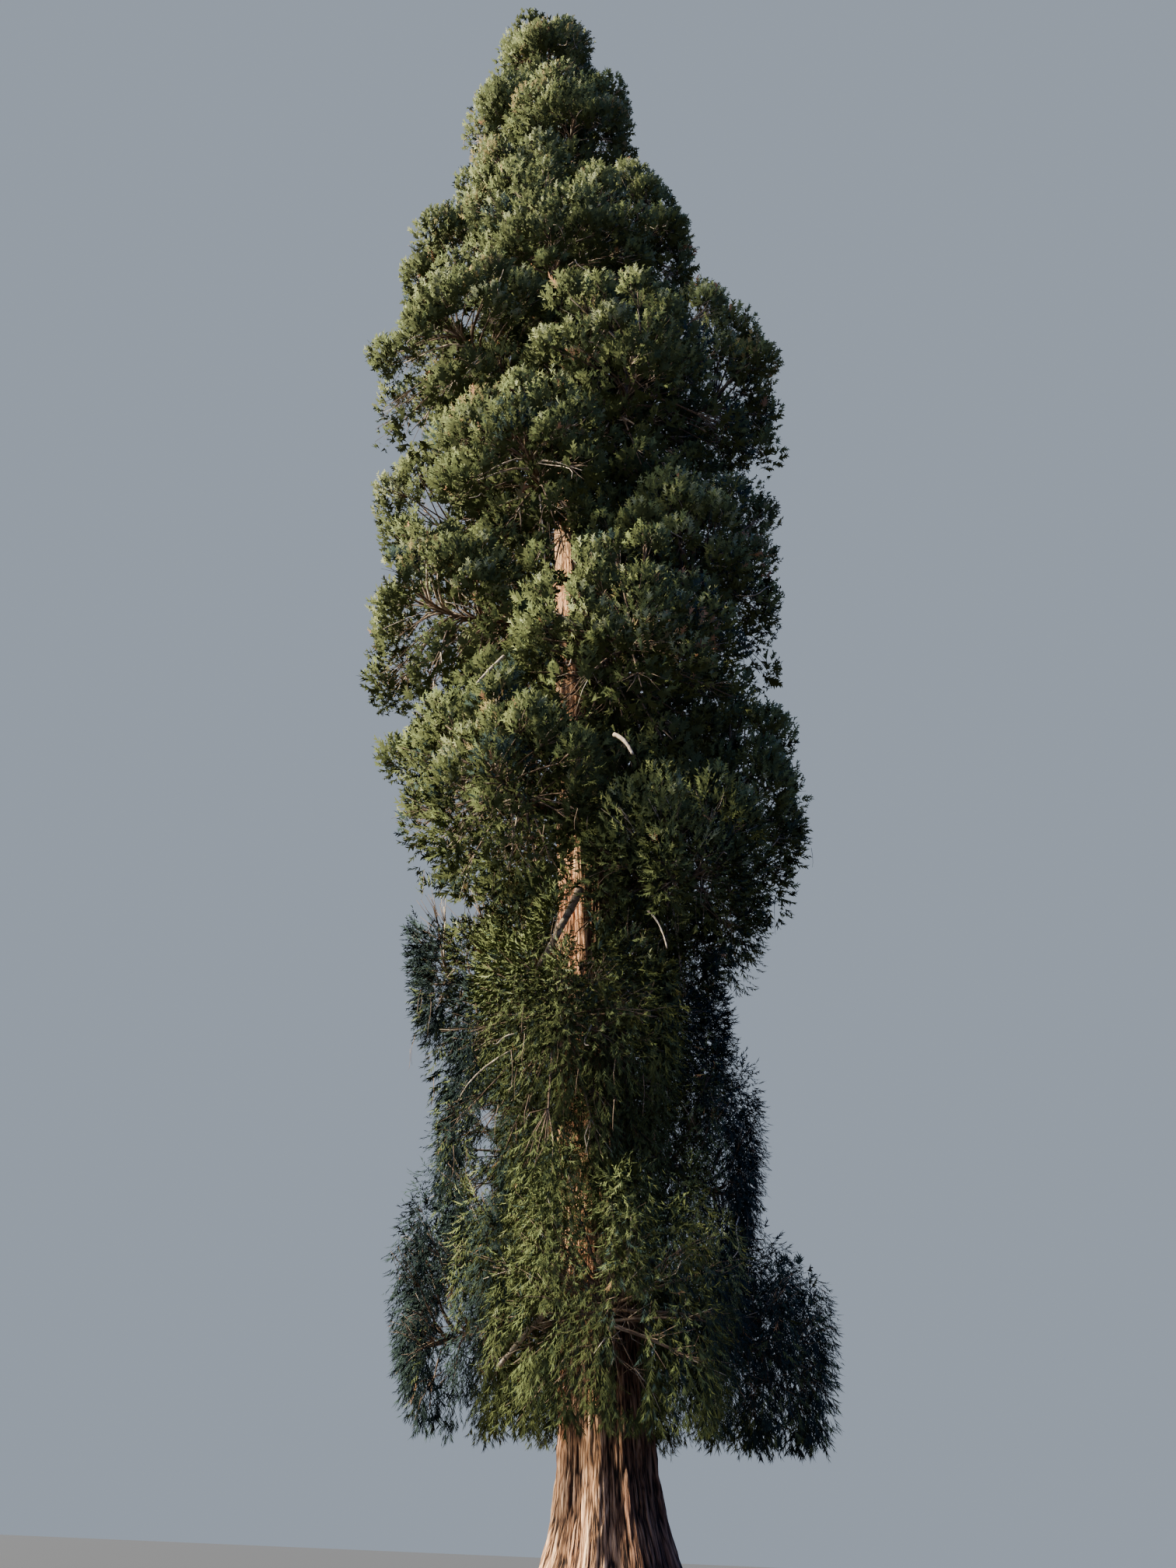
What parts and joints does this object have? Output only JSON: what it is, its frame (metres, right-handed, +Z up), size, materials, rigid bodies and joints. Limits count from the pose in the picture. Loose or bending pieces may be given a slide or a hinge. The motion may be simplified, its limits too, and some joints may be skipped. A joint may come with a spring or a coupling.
{
  "type": "giant sequoia tree",
  "caption": "Tall spindle-shaped conifer rooted in level ground, with a flared, furrowed trunk that leans a little, low boughs and dense rounded masses of evergreen foliage up to a split tip.",
  "frame": {"origin": "middle of the flat cut under the trunk, level with the ground", "axes": "+Z up along the tree's height; +X to the right and +Y away from the viewer as the picture sees it; the trunk leans towards -X"},
  "size_m": [8.7528, 8.7915, 36.3997],
  "materials": {
    "bark": "deeply furrowed, fibrous, matte red-brown bark",
    "limb_bark": "rough, matte grey-brown bark of the boughs",
    "foliage": "dense, matte, scaly dark green sprays"
  },
  "bodies": {
    "root": {"trunk": "bark", "bough_01_right": "limb_bark", "bough_02_back": "limb_bark", "bough_03_left": "limb_bark", "bough_04_front": "limb_bark", "bough_05_right": "limb_bark", "bough_06_back_left": "limb_bark", "bough_07_front": "limb_bark", "bough_08_back_right": "limb_bark", "bough_09_left": "limb_bark", "bough_10_front_right": "limb_bark", "bough_11_back": "limb_bark", "bough_12_front_left": "limb_bark", "bough_13_right": "limb_bark", "bough_14_back_left": "limb_bark", "foliage_01_right": "foliage", "foliage_02_back": "foliage", "foliage_03_left": "foliage", "foliage_04_front": "foliage", "foliage_05_right": "foliage", "foliage_06_back_left": "foliage", "foliage_07_front": "foliage", "foliage_08_back_right": "foliage", "foliage_09_left": "foliage", "foliage_10_front_right": "foliage", "foliage_11_back": "foliage", "foliage_12_front_left": "foliage", "foliage_13_right": "foliage", "foliage_14_back_left": "foliage", "foliage_15_front": "foliage", "foliage_16_back_right": "foliage", "foliage_17_left": "foliage", "foliage_18_front_right": "foliage", "foliage_19_back": "foliage", "foliage_20_front": "foliage", "foliage_21_back_right": "foliage", "foliage_22_left": "foliage", "foliage_23_front_right": "foliage", "foliage_24_back": "foliage", "foliage_25_front_left": "foliage", "foliage_26_right": "foliage", "foliage_27_back_left": "foliage", "foliage_28_front": "foliage", "foliage_29_back_right": "foliage", "foliage_30_left": "foliage", "foliage_31_front_right": "foliage", "foliage_32_back": "foliage", "foliage_33_front_left": "foliage", "foliage_34_back_right": "foliage", "foliage_35_back_left": "foliage", "foliage_36_front": "foliage", "foliage_37_back": "foliage", "foliage_38_front_left": "foliage", "foliage_39_right": "foliage", "foliage_40_back_left": "foliage", "foliage_41_front": "foliage", "foliage_42_back_right": "foliage", "foliage_top_left": "foliage", "foliage_top_right": "foliage"}
  },
  "joints": []
}
